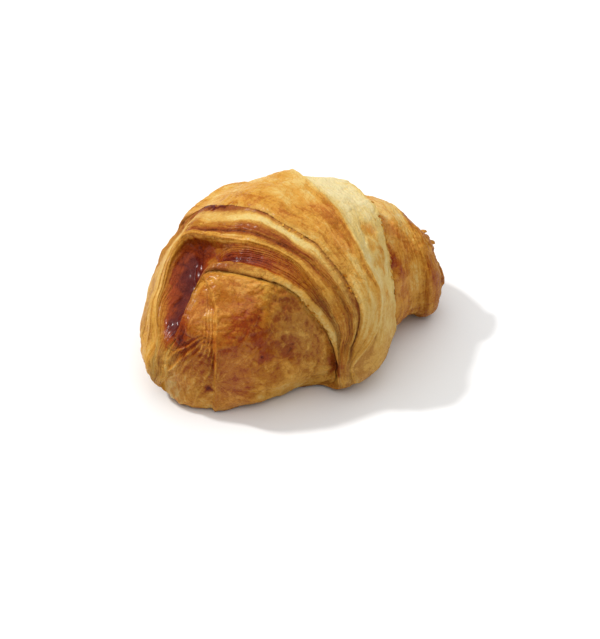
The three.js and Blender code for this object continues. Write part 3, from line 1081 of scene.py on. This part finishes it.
def scatter_tree():
    """Instances of a flake over the faces of a mesh, as many as its flaking attribute asks for."""
    tree = bpy.data.node_groups.new("scatter_flakes", "GeometryNodeTree")
    tree.is_modifier = True
    sockets = {
        "Geometry": "Geometry", "Flake": "Object", "Density": "Float", "Size": "Float", "Seed": "Int",
        "Material": "Material",
    }
    for name, kind in sockets.items():
        tree.interface.new_socket(name=name, in_out="INPUT", socket_type="NodeSocket" + kind)
    tree.interface.new_socket(name="Geometry", in_out="OUTPUT", socket_type="NodeSocketGeometry")
    start = tree.nodes.new("NodeGroupInput").outputs
    end = tree.nodes.new("NodeGroupOutput").inputs

    def add(kind, inputs, **settings):
        node = tree.nodes.new(kind)
        for name, value in settings.items():
            setattr(node, name, value)
        for name, value in inputs.items():
            socket = next(each for each in node.inputs if each.name == name and each.enabled)
            if isinstance(value, bpy.types.NodeSocket):
                tree.links.new(value, socket)
            else:
                socket.default_value = value
        return {each.name: each for each in node.outputs if each.enabled}

    flaking = add("GeometryNodeInputNamedAttribute", {"Name": "flaking"}, data_type="FLOAT")["Attribute"]
    density = tree.nodes.new("ShaderNodeMath")
    density.operation = "MULTIPLY"
    tree.links.new(flaking, density.inputs[0])
    tree.links.new(start["Density"], density.inputs[1])
    seed = {"Seed": start["Seed"]}
    spread = add("GeometryNodeDistributePointsOnFaces", {
        "Mesh": start["Geometry"], "Density": density.outputs[0], **seed})
    turned = add("FunctionNodeRandomValue", {
        "Min": (-FLAKE_TILT, -FLAKE_TILT, 0), "Max": (FLAKE_TILT, FLAKE_TILT, 2 * math.pi), **seed},
        data_type="FLOAT_VECTOR")
    turned = add("FunctionNodeEulerToRotation", {"Euler": turned["Value"]})
    rotation = add("FunctionNodeRotateRotation", {
        "Rotation": spread["Rotation"], "Rotate By": turned["Rotation"]}, rotation_space="LOCAL")
    shape = add("FunctionNodeRandomValue", {**FLAKE_SIZES, **seed}, data_type="FLOAT_VECTOR")
    scale = add("ShaderNodeVectorMath", {"Vector": shape["Value"], "Scale": start["Size"]}, operation="SCALE")
    flake = add("GeometryNodeObjectInfo", {"Object": start["Flake"], "As Instance": True})
    placed = add("GeometryNodeInstanceOnPoints", {
        "Points": spread["Points"], "Instance": flake["Geometry"], "Rotation": rotation["Rotation"],
        "Scale": scale["Vector"]})
    shade = add("FunctionNodeRandomValue", {**FLAKE_BROWNING, **seed}, data_type="FLOAT")
    shaded = add("GeometryNodeStoreNamedAttribute", {
        "Geometry": placed["Instances"], "Name": "browning", "Value": shade["Value"]},
        data_type="FLOAT", domain="INSTANCE")
    real = add("GeometryNodeRealizeInstances", {"Geometry": shaded["Geometry"]})
    covered = add("GeometryNodeSetMaterial", {"Geometry": real["Geometry"], "Material": start["Material"]})
    tree.links.new(covered["Geometry"], end["Geometry"])
    return tree


def scattered(carrier, values):
    """The mesh that the scattering makes on the carrier, with the carrier and the flake cleared away."""
    tree = scatter_tree()
    modifier = carrier.modifiers.new("scatter", "NODES")
    modifier.node_group = tree
    for item in tree.interface.items_tree:
        if item.in_out == "INPUT" and item.name in values:
            modifier[item.identifier] = values[item.name]
    evaluated = carrier.evaluated_get(bpy.context.evaluated_depsgraph_get())
    mesh = bpy.data.meshes.new_from_object(evaluated)
    carrier.modifiers.remove(modifier)
    bpy.data.objects.remove(values["Flake"])
    bpy.data.objects.remove(carrier)
    if not mesh.polygons:
        raise RuntimeError("the scattering made no flakes")
    return mesh


# ---------------------------------------------------------------- materials


class Nodes:
    """Short words for making and joining a material's nodes."""

    def __init__(self, name):
        self.material = bpy.data.materials.new(name)
        self.material.use_nodes = True
        self.tree = self.material.node_tree
        self.shader = self.tree.nodes["Principled BSDF"]

    def add(self, kind, inputs=None, **settings):
        node = self.tree.nodes.new(kind)
        for name, value in settings.items():
            setattr(node, name, value)
        for name, value in (inputs or {}).items():
            if isinstance(value, bpy.types.NodeSocket):
                self.tree.links.new(value, node.inputs[name])
            else:
                node.inputs[name].default_value = value
        return node

    def math(self, operation, first, second=0.0, clamp=False):
        node = self.add("ShaderNodeMath", {0: first, 1: second}, operation=operation, use_clamp=clamp)
        return node.outputs[0]

    def attribute(self, name, output="Fac"):
        return self.add("ShaderNodeAttribute", attribute_name=name).outputs[output]

    def noise(self, vector, scale, detail=3.0, roughness=0.55):
        values = {"Vector": vector, "Scale": scale, "Detail": detail, "Roughness": roughness}
        return self.add("ShaderNodeTexNoise", values).outputs["Fac"]

    def ramp(self, factor, stops):
        node = self.add("ShaderNodeValToRGB", {"Fac": factor})
        node.color_ramp.interpolation = "EASE"
        elements = node.color_ramp.elements
        while len(elements) < len(stops):
            elements.new(0.5)
        for element, (place, tint) in zip(elements, stops):
            element.position = place
            element.color = (*tint, 1)
        return node.outputs["Color"]

    def total(self, *terms):
        """The terms added up one after another."""
        found = terms[0]
        for term in terms[1:]:
            found = self.math("ADD", found, term)
        return found

    def swing(self, source, amount):
        """A pattern from 0 to 1, as a change of up to half the amount either way."""
        return self.math("MULTIPLY", self.math("SUBTRACT", source, 0.5), amount)

    def finish(self, links, values):
        """Join outputs to the shader's inputs, set the other inputs, and hand over the material."""
        for name, output in links.items():
            self.tree.links.new(output, self.shader.inputs[name])
        for name, value in values.items():
            self.shader.inputs[name].default_value = value
        return self.material


def crust_material(colours):
    """Laminated crust: its browning is mottled, and its egg wash shines where it is thick."""
    nodes = Nodes("egg_washed_crust")
    place = nodes.add("ShaderNodeTexCoord").outputs["Object"]
    browning, glaze = nodes.attribute("browning"), nodes.attribute("glaze")
    layered, layer_place = nodes.attribute("layering"), nodes.attribute("layer_place", "Vector")

    def stretched(around, across):
        scale = (around, around, across)
        return nodes.add("ShaderNodeMapping", {"Vector": layer_place, "Scale": scale}).outputs[0]

    # Pale dough and dark sugar are more even than the baked crust between them.
    lively = nodes.math("MULTIPLY", browning, nodes.math("SUBTRACT", 1.03, browning))
    lively = nodes.math("ADD", nodes.math("MULTIPLY", lively, 3.6), 0.12)

    # The patterns, by how many lumps lie in a metre: round the roll and across the layers, or every way.
    blotches = nodes.noise(stretched(70, 130), 1, 3, 0.6)
    mottle = nodes.noise(stretched(260, 430), 1, 4, 0.68)
    speckle = nodes.noise(place, 1050, 3, 0.6)
    grain = nodes.noise(place, 2600, 2, 0.6)
    streaks = nodes.noise(stretched(45, 900), 1, 4, 0.7)
    creased = nodes.noise(place, 330, 3, 0.6)
    crease = nodes.math("ABSOLUTE", nodes.math("SUBTRACT", creased, 0.5))
    crease = nodes.math("SUBTRACT", 1, nodes.math("MULTIPLY", crease, 14), clamp=True)
    peel = nodes.noise(stretched(170, 300), 1, 4, 0.62)
    peeled = nodes.math("MULTIPLY", nodes.math("SUBTRACT", peel, 0.555), 28, clamp=True)

    # How far each pattern changes the browning. The crease lines, which the bump sets low, are painted darker
    # as painted shade.
    change = nodes.total(
        nodes.swing(blotches, 0.72), nodes.swing(mottle, 0.36), nodes.swing(speckle, 0.16),
        nodes.swing(grain, 0.1), nodes.math("MULTIPLY", crease, 0.07), nodes.math("MULTIPLY", peeled, -0.07),
        nodes.math("MULTIPLY", nodes.swing(streaks, 0.7), layered))
    shade = nodes.math("ADD", browning, nodes.math("MULTIPLY", change, lively), clamp=True)
    baked = nodes.ramp(shade, (
        (0, colours.cream), (0.2, colours.straw), (0.4, colours.golden), (0.6, colours.brown),
        (0.8, colours.caramel), (1, colours.dark)))
    # Where the egg wash is thin, the crust is duller.
    richness = nodes.math("ADD", nodes.math("MULTIPLY", glaze, 0.35), 0.88, clamp=True)
    hue = nodes.math("SUBTRACT", 0.515, nodes.math("MULTIPLY", nodes.math("MINIMUM", glaze, 0.5), 0.05))
    rich = nodes.add("ShaderNodeHueSaturation", {"Color": baked, "Hue": hue, "Saturation": richness})
    dullness = nodes.math("SUBTRACT", 0.6, nodes.math("MULTIPLY", glaze, 0.25))

    # How far each pattern stands out.
    height = nodes.total(
        nodes.math("MULTIPLY", mottle, 0.9), nodes.math("MULTIPLY", speckle, 0.4),
        nodes.math("MULTIPLY", grain, 0.2), nodes.math("MULTIPLY", crease, -0.26),
        nodes.math("MULTIPLY", peeled, -0.12),
        nodes.math("MULTIPLY", streaks, nodes.math("MULTIPLY", layered, 1.2)))
    bump = nodes.add("ShaderNodeBump", {"Height": height, "Strength": 0.7, "Distance": 0.7 * MM})
    return nodes.finish({
        "Base Color": rich.outputs[0],
        "Roughness": nodes.math("ADD", dullness, nodes.swing(speckle, 0.4), clamp=True),
        "Coat Weight": nodes.math("MULTIPLY", glaze, 0.38),
        "Normal": bump.outputs[0],
    }, {
        "Specular IOR Level": 0.06,
        "Coat Roughness": 0.2,
        "Subsurface Weight": 0.08,
        "Subsurface Radius": (1, 0.5, 0.2),
        "Subsurface Scale": 1.5 * MM,
    })


def flake_material(colours):
    """Dry flakes, each with a browning of its own."""
    nodes = Nodes("loose_flakes")
    place = nodes.add("ShaderNodeTexCoord").outputs["Object"]
    uneven = nodes.swing(nodes.noise(place, 900), 0.5)
    shade = nodes.math("ADD", nodes.attribute("browning"), uneven, clamp=True)
    dry = nodes.ramp(shade, (
        (0, colours.cream), (0.25, colours.straw), (0.5, colours.golden), (0.8, colours.brown),
        (1, colours.caramel)))
    return nodes.finish({"Base Color": dry}, {"Roughness": 0.6, "Specular IOR Level": 0.1})


def floor_material(tint):
    """A pale, matt floor."""
    values = {"Base Color": (*tint, 1), "Roughness": 0.8, "Specular IOR Level": 0.2}
    return Nodes("pale_floor").finish({}, values)


# ---------------------------------------------------------------- operators


def shaped_crust(context):
    """The crust, and its box in metres before it is set in the place of the CAD solid."""
    crust = Crust(context.scene.croissant_sizes)
    turned = turn(crust.points).reshape(-1, 3)
    return crust, (turned.min(axis=0), turned.max(axis=0))


def put_in_frame(piece):
    """A piece of crust rides on the one body and stands in for the CAD solid."""
    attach(piece, "root")
    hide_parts("croissant")


class OBJECT_OT_croissant_crust(bpy.types.Operator):
    """Build the laminated crust in the place of the CAD solid, one piece for each sheet of dough"""

    bl_idname = "object.croissant_crust"
    bl_label = "Bake the Crust"

    NAMES = ("rolled_end", "outer_sheet", "far_end")

    def execute(self, context):
        crust, box = shaped_crust(context)
        material = crust_material(context.scene.croissant_colours)
        for index, name in enumerate(self.NAMES):
            points, values = crust.sheet(index)
            piece = new_piece(name, turn_to_frame(with_ends(points), box), closed_faces(*points.shape[:2]))
            for value_name, value in values.items():
                add_attribute(piece.data, value_name, with_ends(value))
            piece.data.materials.append(material)
            put_in_frame(piece)
        return {"FINISHED"}


class OBJECT_OT_croissant_flakes(bpy.types.Operator):
    """Scatter loose flakes along the edges of the sheets, and tear shards up at the far end"""

    bl_idname = "object.croissant_flakes"
    bl_label = "Scatter the Flakes"

    def scatter_flakes(self, context, crust, box, material):
        """Flakes over those faces of the crust where it flakes."""
        settings = context.scene.croissant_flakes
        flaking = crust.flaking()
        quads = grid_quads(np.arange(flaking.size).reshape(flaking.shape))[flaking[:-1] > LEAST_FLAKING]
        carrier = new_piece("carrier", turn_to_frame(crust.points, box).reshape(-1, 3), quads.tolist())
        add_attribute(carrier.data, "flaking", flaking.ravel())
        mesh = scattered(carrier, {
            "Flake": bpy.data.objects.new("flake", flake_mesh()), "Density": settings.density / 0.01**2,
            "Size": settings.size, "Seed": settings.seed, "Material": material})
        flakes = bpy.data.objects.new("loose_flakes", mesh)
        context.scene.collection.objects.link(flakes)
        return flakes

    def tear_shards(self, crust, box, material):
        """The shards, whose way onward is found from the rows of the crust round about."""
        rows_each_way = 3
        points, faces = [], []
        for degrees, along, length, width, lean in SHARDS:
            row, column = crust.nearest(degrees, along)
            onward = crust.points[row + rows_each_way, column] - crust.points[row - rows_each_way, column]
            out = crust.out[row, column]
            onward = onward - out * (onward @ out)
            onward = onward / np.linalg.norm(onward)
            shard_points, shard_faces = shard(crust.points[row, column], out, onward, length, width, lean)
            faces += [tuple(len(points) + corner for corner in face) for face in shard_faces]
            points += shard_points
        shards = new_piece("torn_shards", turn_to_frame(np.array(points), box), faces)
        add_attribute(shards.data, "browning", np.full(len(points), SHARD_BROWNING))
        shards.data.materials.append(material)
        return shards

    def execute(self, context):
        crust, box = shaped_crust(context)
        material = flake_material(context.scene.croissant_colours)
        put_in_frame(self.tear_shards(crust, box, material))
        put_in_frame(self.scatter_flakes(context, crust, box, material))
        return {"FINISHED"}


class SCENE_OT_croissant_stage(bpy.types.Operator):
    """Set a plain floor, soft studio light and the camera"""

    bl_idname = "scene.croissant_stage"
    bl_label = "Set the Stage"

    FLOOR_HALF = 4.0  # metres
    # Where the camera aims on the floor, under the dome of the roll.
    AIM = Vector((8.48, 1.84, 0)) * MM
    CAMERA_ELEVATION = math.radians(45)
    # Where the lights come from, as the dough was rolled.
    KEY_FROM = (-0.8, 0.28, 1)
    KEY_SPREAD = math.radians(4.5)
    OVERHEAD_FROM = (0.02, 0.14, 1)
    OVERHEAD_SPREAD = math.radians(100)

    def add_floor(self, settings):
        half = self.FLOOR_HALF
        corners = np.array(((-half, -half, 0), (half, -half, 0), (half, half, 0), (-half, half, 0)))
        floor = new_piece("floor", corners, [(0, 1, 2, 3)])
        floor.data.materials.append(floor_material(settings.floor))

    def add_sun(self, name, strength, spread, direction):
        light = bpy.data.lights.new(name, "SUN")
        light.energy = strength
        light.angle = spread
        lamp = bpy.data.objects.new(name, light)
        lamp.rotation_euler = Vector(turn(np.array(direction))).to_track_quat("Z", "Y").to_euler()
        bpy.context.scene.collection.objects.link(lamp)

    def add_camera(self, settings):
        data = bpy.data.cameras.new("camera")
        data.lens = settings.lens
        data.sensor_width = 36
        data.clip_start, data.clip_end = 0.01, 20
        camera = bpy.data.objects.new("camera", data)
        flat, up = math.cos(self.CAMERA_ELEVATION), math.sin(self.CAMERA_ELEVATION)
        back = Vector((math.sin(ROLL_TURN) * flat, -math.cos(ROLL_TURN) * flat, up))
        camera.location = self.AIM + back * settings.distance
        camera.rotation_euler = back.to_track_quat("Z", "Y").to_euler()
        bpy.context.scene.collection.objects.link(camera)
        bpy.context.scene.camera = camera

    def set_surround(self, settings):
        world = bpy.data.worlds.new("studio")
        world.use_nodes = True
        background = world.node_tree.nodes["Background"]
        background.inputs["Color"].default_value = (1, 1, 1, 1)
        background.inputs["Strength"].default_value = settings.surround
        bpy.context.scene.world = world
        bpy.context.scene.view_settings.view_transform = "Standard"

    def execute(self, context):
        settings = context.scene.croissant_stage
        self.add_floor(settings)
        self.add_sun("key_light", settings.key, self.KEY_SPREAD, self.KEY_FROM)
        self.add_sun("overhead_light", settings.overhead, self.OVERHEAD_SPREAD, self.OVERHEAD_FROM)
        self.add_camera(settings)
        self.set_surround(settings)
        return {"FINISHED"}


class VIEW3D_PT_croissant(bpy.types.Panel):
    """Lists the croissant's sizes, colours and steps"""

    bl_label = "Butter Croissant"
    bl_idname = "VIEW3D_PT_croissant"
    bl_space_type = "VIEW_3D"
    bl_region_type = "UI"
    bl_category = "Croissant"

    def draw(self, context):
        scene = context.scene
        for group in (getattr(scene, name) for name in GROUPS):
            box = self.layout.box()
            for name in group.__annotations__:
                box.prop(group, name)
        for operator in OPERATORS:
            self.layout.operator(operator.bl_idname)


GROUPS = {
    "croissant_sizes": CroissantSizes,
    "croissant_colours": CroissantColours,
    "croissant_flakes": FlakeSettings,
    "croissant_stage": StageSettings,
}
OPERATORS = (OBJECT_OT_croissant_crust, OBJECT_OT_croissant_flakes, SCENE_OT_croissant_stage)


def register():
    for name, group in GROUPS.items():
        bpy.utils.register_class(group)
        setattr(bpy.types.Scene, name, PointerProperty(type=group))
    for operator in OPERATORS:
        bpy.utils.register_class(operator)
    bpy.utils.register_class(VIEW3D_PT_croissant)


def unregister():
    bpy.utils.unregister_class(VIEW3D_PT_croissant)
    for operator in reversed(OPERATORS):
        bpy.utils.unregister_class(operator)
    for name, group in GROUPS.items():
        delattr(bpy.types.Scene, name)
        bpy.utils.unregister_class(group)


def main():
    register()
    bpy.ops.object.croissant_crust()
    bpy.ops.object.croissant_flakes()
    bpy.ops.scene.croissant_stage()


if __name__ == "__main__":
    main()
